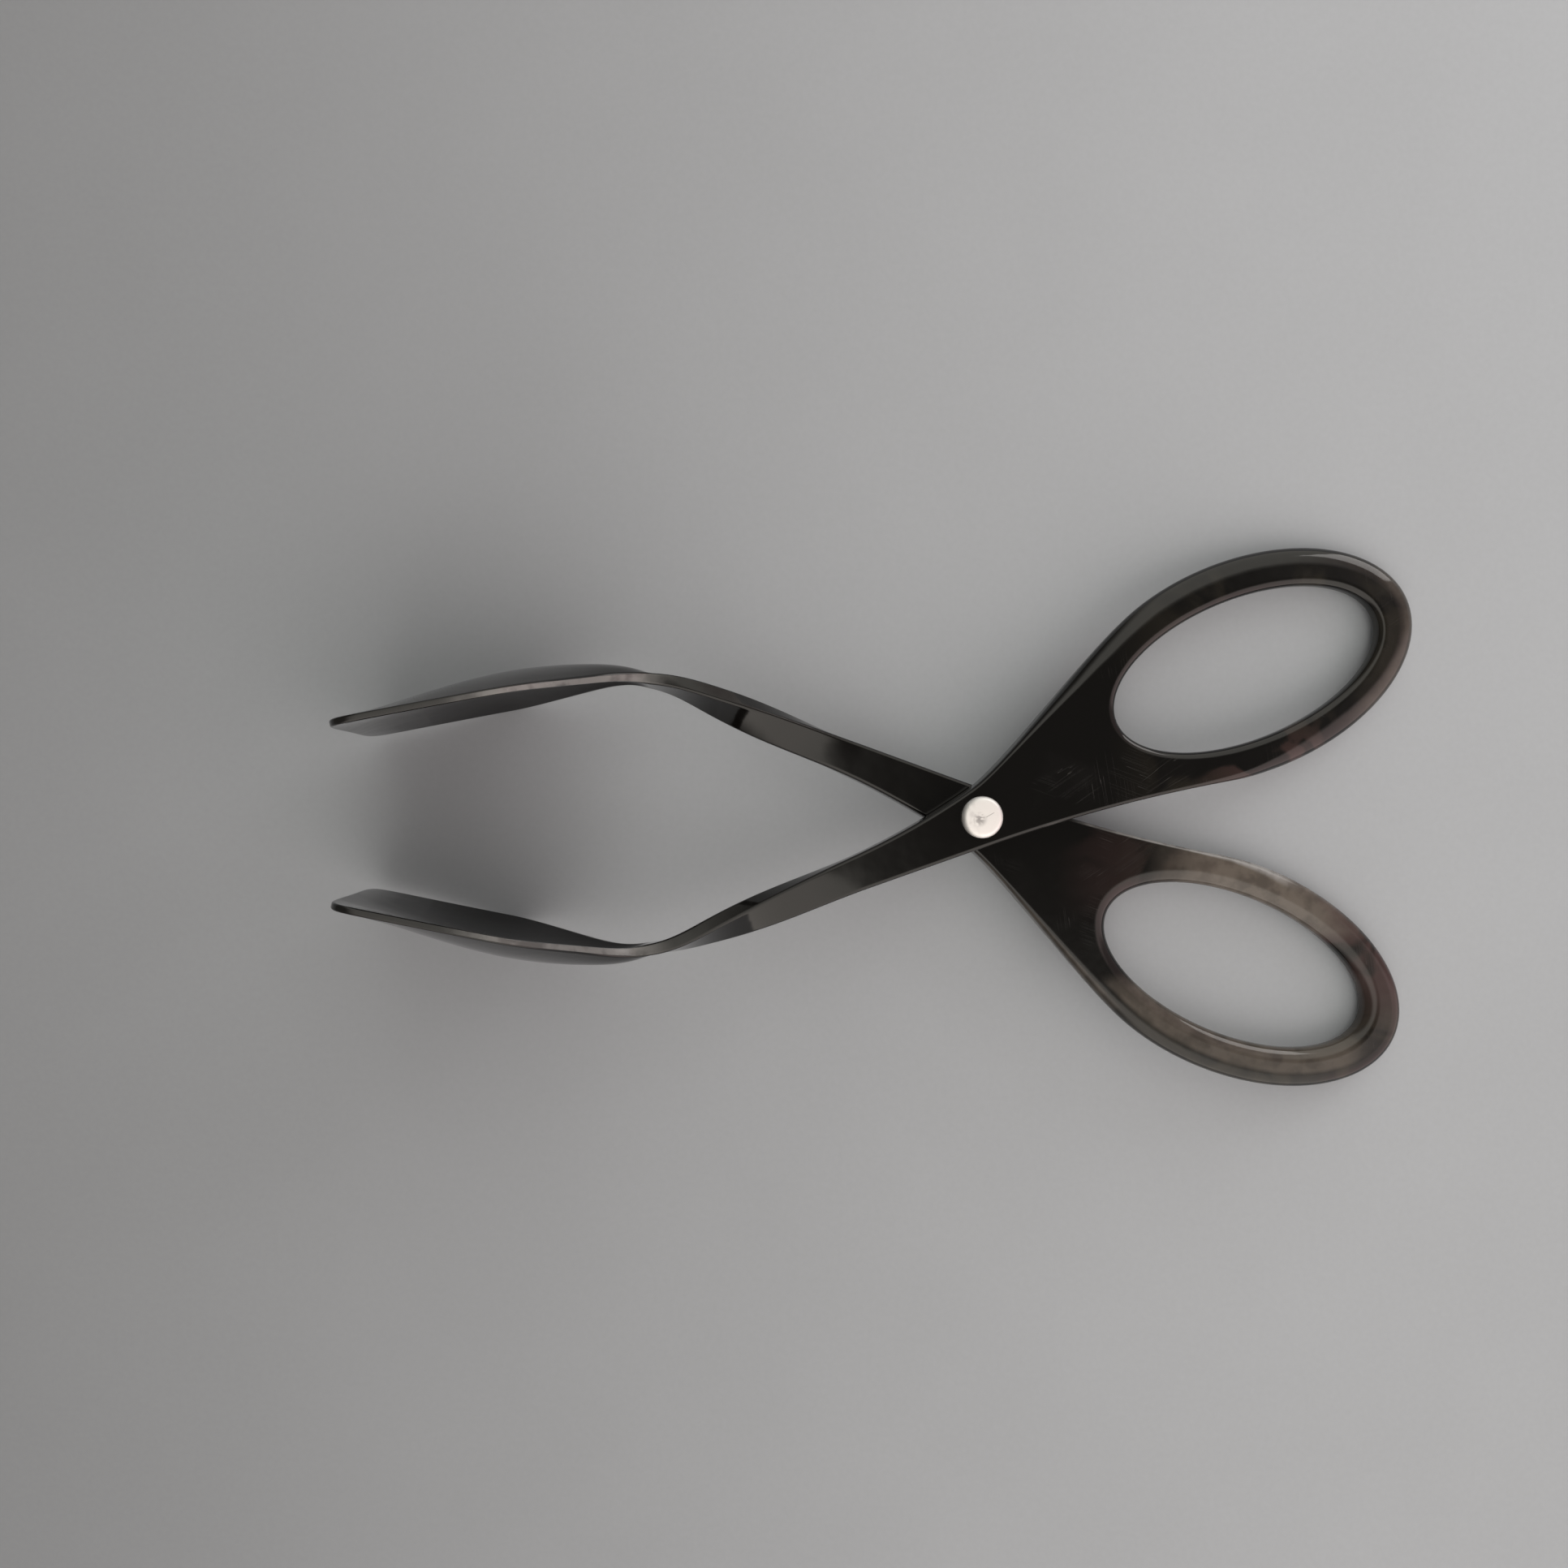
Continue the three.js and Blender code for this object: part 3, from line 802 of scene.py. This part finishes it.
# Scratches: grain per metre, width as a share of its range, and the noise that breaks them up
SCRATCH_GRAIN = (25.0, 1800.0, 25.0)
SCRATCH_WIDTH = 0.006
BREAK_SCALE = 70.0
BREAK_DRIFT = 10.0
BREAK_LEVELS = (0.6, 0.68)
NOISE_MIDDLE = 0.5


def new_material(name):
    """An empty node material, and the wire of its Object coordinates."""
    material = bpy.data.materials.new(name)
    material.use_nodes = True
    material.node_tree.nodes.clear()
    return material, Wire(material.node_tree).node("ShaderNodeTexCoord", output="Object")


def end_material(wire, inputs):
    """Ends a material in a shader with these inputs."""
    surface = wire.node("ShaderNodeBsdfPrincipled", None, inputs)
    wire.node("ShaderNodeOutputMaterial", None, {"Surface": surface})


def bumped(strength, distance, height):
    """A normal that follows a height, which is in units of the distance."""
    inputs = {"Strength": strength, "Distance": distance, "Height": height}
    return height.node("ShaderNodeBump", None, inputs)


def tint(first, second, share):
    """A colour between two others, each a wire or a plain colour."""
    plain = [value if isinstance(value, Wire) else (*value, 1.0) for value in (first, second)]
    inputs = {"Factor": share, COLOUR_A: plain[0], COLOUR_B: plain[1]}
    return share.node("ShaderNodeMix", {"data_type": "RGBA"}, inputs, COLOUR_MIXED)


def total(wires):
    """The sum of several wires."""
    first, *rest = wires
    return sum(rest, first)


def plan_length(east, north):
    """Length of a step in plan."""
    return east.math("SQRT", east * east + north * north)


def noise(place, scale, detail=2.0, distortion=0.0):
    """A noise value from 0 to 1 at a place."""
    inputs = {"Vector": place, "Scale": scale, "Detail": detail, "Distortion": distortion}
    return place.node("ShaderNodeTexNoise", None, inputs)


def stretched(place, turn, scale):
    """Coordinates turned about Z, then scaled."""
    inputs = {"Vector": place, "Rotation": (0.0, 0.0, turn)}
    turned = place.node("ShaderNodeMapping", {"vector_type": "POINT"}, inputs)
    return place.vector("MULTIPLY", turned, scale)


def scratches(place, turn):
    """Fine straight scratches in one direction, 1 on a scratch, broken up into short patches."""
    grain = noise(stretched(place, turn, SCRATCH_GRAIN), scale=1.0, detail=0.0)
    line = clamp(1 - grain.math("ABSOLUTE", grain - NOISE_MIDDLE) / SCRATCH_WIDTH)
    broken = noise(place, BREAK_SCALE + BREAK_DRIFT * turn, detail=1.0)
    return line * smooth(broken, *BREAK_LEVELS)


def specks(place, per_metre, radius, share):
    """Round specks, 1 inside one, in a share of the cells."""
    settings = {"voronoi_dimensions": "3D", "feature": "F1"}
    inputs = {"Vector": place, "Scale": per_metre}
    apart = place.node("ShaderNodeTexVoronoi", settings, inputs)
    lot = place.node("ShaderNodeTexVoronoi", settings, inputs, "Color").axes()[0]
    near = 1 - smooth(apart, radius * per_metre / 2, radius * per_metre)
    return near * lot.math("LESS_THAN", lot, share)


# The arms' plastic


class PlanPatch(NamedTuple):
    """A patch of colour on the plastic, for its clouding and for painted light: its zone in plan, its
    strength, and the levels of the rim where it fades in.

    The zone is a low limit, a high limit and the fade beyond them, along X and along Y in millimetres.
    """

    along: tuple
    across: tuple
    strength: float
    rim_levels: tuple = ()

    def at(self, x, y, rim):
        """How strong the patch is at a place, in millimetres."""
        shown = self.strength * within(x, *self.along) * within(y, *self.across)
        return shown * smooth(rim, *self.rim_levels) if self.rim_levels else shown


WHOLE_LENGTH = (-110, 110, 1)
WHOLE_WIDTH = (-60, 60, 1)
RED_LOOPS = PlanPatch((75, 120, 20), (-32, 10, 12), 1.0)
RED_THROAT = PlanPatch((44, 52, 14), (-14, -6, 8), 0.3)
# Painted light: tan patches where the loops look lit through, painted into the plastic's colour.
TAN_LIGHT_PATCHES = (
    PlanPatch((66, 82, 17), (-22, -6.5, 3), 0.88),  # the lower loop's inner band
    PlanPatch((46, 90, 8), (-52, -34, 4), 0.55, (0.4, 0.05)),  # the lower loop's outer band, away from its edge
    PlanPatch((20, 42, 6), (-36, -8, 4), 0.35, (0.5, 0.7)),  # the lower throat's outer edge
    PlanPatch((90, 112, 12), (26, 44, 10), 0.3, (0.0, 0.5)),  # the upper loop's far end
)
# Painted highlights: pale lines painted along the necks' edges and the lower throat's inner edge, and
# faintly along every other edge, where light glints.
EDGE_HIGHLIGHT_PATCHES = (
    PlanPatch((-70, -50, 10), WHOLE_WIDTH, 0.55, (0.8, 0.95)),  # the edges of the necks
    PlanPatch(WHOLE_LENGTH, WHOLE_WIDTH, 0.02, (0.8, 0.95)),  # all other edges
    PlanPatch((36, 75, 8), (-13, -2, 2), 0.85, (0.1, 0.6)),  # the lower throat's inner edge
)

# Noises: scale per metre, detail and distortion. Levels: where a noise's patches begin and are full
CLOUD_NOISE, CLOUD_LEVELS = (75.0, 3.0, 0.6), (0.42, 0.6)
STREAK_NOISE, STREAK_LEVELS = (260.0, 3.0), (0.35, 0.6)
SMUDGE_NOISE, SMUDGE_LEVELS = (60.0, 4.0, 0.3), (0.55, 0.75)
WAVE_NOISE, PORE_NOISE = (120.0, 2.0), (700.0, 2.0)

# The olive cast: where it rises along X and Y in millimetres, and its share on the upper loop
OLIVE_ALONG = (40, 60)
OLIVE_ACROSS = (0, 30)
OLIVE_UPPER = 0.5

# How the clouds bring out the red, and the streaks the painted tan light and the painted edge highlights
RED_LEVELS = (0.0, 0.6)
TAN_LIGHT_STREAKS = (0.7, 1.1)
EDGE_HIGHLIGHT_STREAKS = (0.5, 1.0)

SCRATCH_TURNS = (0.35, -0.6, 1.4)
SPECKS_PER_METRE = 130.0
SPECK_RADIUS = 0.16 * MM
SPECK_SHARE = 0.1

# How much each mark shows as dust, as roughness and as relief in millimetres
DUST = SimpleNamespace(scratch=0.05, speck=0.8, smudge=0.003)
DULL = SimpleNamespace(clean=0.085, smudge=0.06, scratch=0.25, speck=0.4, edge_highlight=0.3)
RELIEF = SimpleNamespace(wave=0.09, pore=0.005, scratch=0.003)
PLASTIC_IOR = 1.5


def arm_plastic(finish):
    """Glossy brown-black plastic with clouding, scratches, dull smudges and dust, with painted tan light on
    the loops and painted highlights along the edges.
    """
    material, place = new_material("arm_plastic")
    x, y = [axis / MM for axis in place.axes()[:2]]
    rim = place.node("ShaderNodeAttribute", {"attribute_name": RIM}, output="Fac")
    cloud = smooth(noise(place, *CLOUD_NOISE), *CLOUD_LEVELS)
    streak = smooth(noise(place, *STREAK_NOISE), *STREAK_LEVELS)
    smudge = smooth(noise(place, *SMUDGE_NOISE), *SMUDGE_LEVELS)
    scratch = clamp(total([scratches(place, turn) for turn in SCRATCH_TURNS]))
    speck = specks(place, SPECKS_PER_METRE, SPECK_RADIUS, SPECK_SHARE)
    # Painted highlight along the edges, which also makes them rougher.
    edge_highlight = total([painted_patch.at(x, y, rim) for painted_patch in EDGE_HIGHLIGHT_PATCHES]) * mix(*EDGE_HIGHLIGHT_STREAKS, streak)

    olive = cloud * smooth(x, *OLIVE_ALONG) * mix(OLIVE_UPPER, 1.0, smooth(-y, *OLIVE_ACROSS))
    red = RED_LOOPS.at(x, y, rim) * smooth(cloud, *RED_LEVELS) + RED_THROAT.at(x, y, rim) * cloud
    # Painted light on the loops and the lower throat, in tan.
    tan = clamp(total([painted_patch.at(x, y, rim) for painted_patch in TAN_LIGHT_PATCHES]) * mix(*TAN_LIGHT_STREAKS, streak))
    body = tint(tint(tint(finish.plastic, finish.olive, olive), finish.russet, red), finish.tan, tan)
    # The dust mask also carries the painted edge highlights.
    dust_and_highlight = clamp(DUST.scratch * scratch + DUST.speck * speck + DUST.smudge * smudge + edge_highlight)

    dull = DULL.clean + DULL.smudge * smudge + DULL.scratch * scratch + DULL.speck * speck
    waves = RELIEF.wave * noise(place, *WAVE_NOISE) + RELIEF.pore * noise(place, *PORE_NOISE)
    end_material(place, {
        "Base Color": tint(body, finish.dust_and_highlight, dust_and_highlight),
        "Roughness": clamp(dull + DULL.edge_highlight * edge_highlight),
        "IOR": PLASTIC_IOR,
        "Normal": bumped(1.0, MM, waves - RELIEF.scratch * scratch),
    })
    return material


# The rivet's metal

BLOTCH_NOISE = (900.0, 3.0, 0.8)
SCUFF_RADII, SCUFF_LEVELS = (0.3 * MM, 1.7 * MM), (0.38, 0.55)
# Grey smudges that show only on the west half of each head, towards the paddles
WEST_GREY_NOISE, WEST_GREY_LEVELS = (350.0, 2.0, 0.5), (0.5, 0.62)
WEST_GREY_SPAN = (-0.5 * MM, 1.5 * MM)
FINE_STRETCH = (5.0, 5.0, 5.0)
FINE_TURN = 0.7
TICK_FROM = (1.3 * MM, 0.5 * MM)
TICK_HEADING = (0.87, 0.5)
TICK_LENGTH = 1.6 * MM
TICK_EDGES = (0.04 * MM, 0.12 * MM)
WORN = SimpleNamespace(scuff=0.8, scratch=0.6, west_grey=0.25)
METAL_DULL = SimpleNamespace(clean=0.5, blotch=0.12, worn=0.15)
METAL_BUMP = 0.3
METAL_RELIEF = 0.03 * MM
METAL_SCRATCH = 0.6


def tick_mark(east, north):
    """One short straight scratch beside the middle of a head, 1 on the scratch."""
    across, up = east - TICK_FROM[0], north - TICK_FROM[1]
    along = clamp((TICK_HEADING[0] * across + TICK_HEADING[1] * up) / TICK_LENGTH) * TICK_LENGTH
    apart = plan_length(across - TICK_HEADING[0] * along, up - TICK_HEADING[1] * along)
    return 1 - smooth(apart, *TICK_EDGES)


def rivet_metal(finish):
    """Bright aluminium with a scuffed middle, fine handling marks and grey smudges on the head's west half.
    """
    material, place = new_material("rivet_metal")
    pivot = stack_matrix().translation
    east, north, _ = place.vector("SUBTRACT", place, (pivot.x, pivot.y, 0.0)).axes()
    blotch = noise(place, *BLOTCH_NOISE)
    scuff = (1 - smooth(plan_length(east, north), *SCUFF_RADII)) * smooth(blotch, *SCUFF_LEVELS)
    # Greyer smudges only on the west half of the head.
    west_grey = smooth(noise(place, *WEST_GREY_NOISE), *WEST_GREY_LEVELS) * smooth(-east, *WEST_GREY_SPAN)
    fine = scratches(stretched(place, 0.0, FINE_STRETCH), FINE_TURN)
    scratch = clamp(fine + tick_mark(east, north))
    worn = clamp(WORN.scuff * scuff + WORN.scratch * scratch + WORN.west_grey * west_grey)
    end_material(place, {
        "Base Color": tint(finish.metal, finish.tarnish, worn),
        "Metallic": 1.0,
        "Roughness": clamp(METAL_DULL.clean + METAL_DULL.blotch * blotch + METAL_DULL.worn * worn),
        "Normal": bumped(METAL_BUMP, METAL_RELIEF, blotch - METAL_SCRATCH * scratch),
    })
    return material


# The stage

FLOOR_SIDE = 6.0
FLOOR_DROP = 0.25 * MM
# Where the floor's painted shade turns into painted light, along X in metres
FLOOR_LIGHT_GRADE = (-0.28, 0.14)
GRAIN_NOISE, TONE_NOISE = (900.0, 3.0), (25.0, 3.0)
PAPER_TONES = (0.93, 1.07)
PAPER_ROUGHNESS = 0.85
PAPER_SPECULAR = 0.2

# Where the room's colour and light change, by how far a unit direction points south, east or north
SOUTH_SPAN = (-0.3, 0.5)
EAST_SPAN = (0.45, 0.7)
WEST_SPAN = (-0.5, -0.1)
CORNER_EAST_SPAN = (0.45, 0.65)
CORNER_NORTH_SPAN = (0.0, 0.15)

KEY_PLACE = (0.4, 0.36, 0.14)
IMAGE_SIDE = 1932
SENSOR_WIDTH = 36.0
CLIP_START = 10 * MM


def floor_paper(studio):
    """Grey paper with a faint grain, painted darker towards the paddles and paler towards the loops as
    painted shade and light.
    """
    material, place = new_material("floor_paper")
    grain = (noise(place, *GRAIN_NOISE) + noise(place, *TONE_NOISE)) / 2
    # Painted shade towards the paddles, painted light towards the loops.
    paper_with_painted_light = tint(studio.painted_shade_west_floor, studio.painted_light_east_floor, smooth(place.axes()[0], *FLOOR_LIGHT_GRADE))
    end_material(place, {
        "Base Color": paper_with_painted_light.scaled(mix(*PAPER_TONES, grain)),
        "Roughness": PAPER_ROUGHNESS,
        "Specular IOR Level": PAPER_SPECULAR,
    })
    return material


def add_floor(studio):
    """A wide sheet of paper just under the tongs."""
    reach = FLOOR_SIDE / 2
    corners = [(-reach, -reach), (reach, -reach), (reach, reach), (-reach, reach)]
    mesh = bpy.data.meshes.new("floor")
    mesh.from_pydata([(x, y, -FLOOR_DROP) for x, y in corners], [], [(0, 1, 2, 3)])
    mesh.materials.append(floor_paper(studio))
    linked("floor", mesh)


def add_room(studio):
    """A pale room with a dim patch on its ceiling, which gets darker towards the paddles."""
    world = bpy.data.worlds.new("room")
    world.use_nodes = True
    world.node_tree.nodes.clear()
    bpy.context.scene.world = world
    towards = Wire(world.node_tree).node("ShaderNodeTexCoord", output="Generated")
    east, north, _ = towards.axes()
    south = smooth(-north, *SOUTH_SPAN)
    walls = tint(studio.wall_north, studio.wall_south, south)
    walls = tint(walls, studio.wall_east, smooth(east, *EAST_SPAN))
    level = mix(studio.north_level, studio.south_level, south)
    level = level * mix(studio.west_level, 1.0, smooth(east, *WEST_SPAN))
    corner = smooth(east, *CORNER_EAST_SPAN) * smooth(north, *CORNER_NORTH_SPAN)
    level = level * mix(1.0, studio.corner_level, corner)
    patch = Vector((math.tan(studio.dim_east), math.tan(studio.dim_north), 1.0)).normalized()
    operation, inputs = {"operation": "DOT_PRODUCT"}, {0: towards, 1: patch}
    facing = towards.node("ShaderNodeVectorMath", operation, inputs, "Value")
    dim = smooth(facing, math.cos(studio.dim_outer), math.cos(studio.dim_inner))
    level = mix(level, studio.dim_level, dim)
    light = towards.node("ShaderNodeBackground", None, {"Color": walls, "Strength": level})
    towards.node("ShaderNodeOutputWorld", None, {"Surface": light})


def add_key(studio):
    """A soft strip light beyond the upper loop, which aims at the rivet."""
    light = bpy.data.lights.new("key", "AREA")
    light.shape = "RECTANGLE"
    light.size = studio.key_width
    light.size_y = studio.key_height
    light.energy = studio.key_power
    light.color = studio.key
    lamp = linked("key", light)
    aim = stack_matrix().translation - Vector(KEY_PLACE)
    lamp.matrix_world = Matrix.Translation(KEY_PLACE) @ aim.to_track_quat("-Z", "Y").to_matrix().to_4x4()


def add_camera(settings):
    """The camera, which sees the rivet's head at its pixel, from its distance, along a leaning axis."""
    studio = settings.studio
    middle = IMAGE_SIDE / 2
    head = Vector((0.0, 0.0, head_seat(settings) + settings.rivet.head_height))
    tilted = Matrix.Rotation(-studio.eye_tilt, 3, "Y") @ Matrix.Rotation(studio.eye_lean, 3, "X")
    turned = tilted @ Matrix.Rotation(studio.eye_spin, 3, "Z")
    ray = Vector((
        (studio.rivet_column - middle) / studio.focal_pixels,
        (middle - studio.rivet_row) / studio.focal_pixels,
        -1.0,
    ))
    place = head - turned @ (ray * studio.eye_distance)
    lens = bpy.data.cameras.new("camera")
    lens.sensor_width = SENSOR_WIDTH
    lens.lens = SENSOR_WIDTH * studio.focal_pixels / IMAGE_SIDE
    lens.clip_start = CLIP_START
    camera = linked("camera", lens)
    camera.matrix_world = stack_matrix() @ Matrix.Translation(place) @ turned.to_4x4()
    bpy.context.scene.camera = camera


class TONGS_OT_arms(bpy.types.Operator):
    """Mould the two arms, the lower one being the upper one turned over"""

    bl_idname = "tongs.arms"
    bl_label = "Arms"

    def execute(self, context):
        settings = context.scene.tongs
        mesh = moulded_mesh(settings, arm_plastic(settings.finish))
        above, below = stacked(Matrix.Rotation(settings.arm.half_opening, 4, "Z"))
        add_piece("lower_arm_moulding", mesh.copy(), below, "lower", "lower_arm")
        add_piece("upper_arm_moulding", mesh, above, "upper", "upper_arm")
        return {"FINISHED"}


class TONGS_OT_rivet(bpy.types.Operator):
    """Turn the rivet's sleeve and the pin that is pressed into it"""

    bl_idname = "tongs.rivet"
    bl_label = "Rivet"

    def execute(self, context):
        settings = context.scene.tongs
        metal = rivet_metal(settings.finish)
        above, below = stacked(Matrix.Translation((0.0, 0.0, head_seat(settings))))
        sleeve = turned_mesh(sleeve_profile(settings), metal)
        add_piece("rivet_sleeve_turned", sleeve, above, "lower", "rivet_sleeve")
        pin = turned_mesh(pin_profile(settings), metal)
        add_piece("rivet_pin_turned", pin, below, "lower", "rivet_pin")
        return {"FINISHED"}


class TONGS_OT_stage(bpy.types.Operator):
    """Lay the paper floor, light the room and set up the camera"""

    bl_idname = "tongs.stage"
    bl_label = "Stage"

    def execute(self, context):
        settings = context.scene.tongs
        context.scene.view_settings.view_transform = "Standard"
        add_floor(settings.studio)
        add_room(settings.studio)
        add_key(settings.studio)
        add_camera(settings)
        return {"FINISHED"}


class TONGS_PT_sidebar(bpy.types.Panel):
    """Lists the settings and the steps that build the tongs"""

    bl_idname = "TONGS_PT_sidebar"
    bl_label = "Scissor Tongs"
    bl_space_type = "VIEW_3D"
    bl_region_type = "UI"
    bl_category = "Tongs"

    def draw(self, context):
        settings = context.scene.tongs
        groups = ((settings.arm, "tongs.arms"), (settings.rivet, "tongs.rivet"),
                  (settings.finish, None), (settings.studio, "tongs.stage"))
        for group, step in groups:
            box = self.layout.box()
            for field in group.__annotations__:
                box.prop(group, field)
            if step:
                box.operator(step)


CLASSES = (
    ArmSizes, RivetSizes, Finish, Studio, TongsSettings,
    TONGS_OT_arms, TONGS_OT_rivet, TONGS_OT_stage, TONGS_PT_sidebar,
)


def register():
    """Registers the classes and gives the scene its settings."""
    for item in CLASSES:
        bpy.utils.register_class(item)
    bpy.types.Scene.tongs = bpy.props.PointerProperty(type=TongsSettings)


def unregister():
    """Takes the settings and the classes away again."""
    del bpy.types.Scene.tongs
    for item in reversed(CLASSES):
        bpy.utils.unregister_class(item)


def main():
    """Builds the stage and the pieces."""
    register()
    bpy.ops.tongs.stage()
    bpy.ops.tongs.arms()
    bpy.ops.tongs.rivet()


if __name__ == "__main__":
    main()
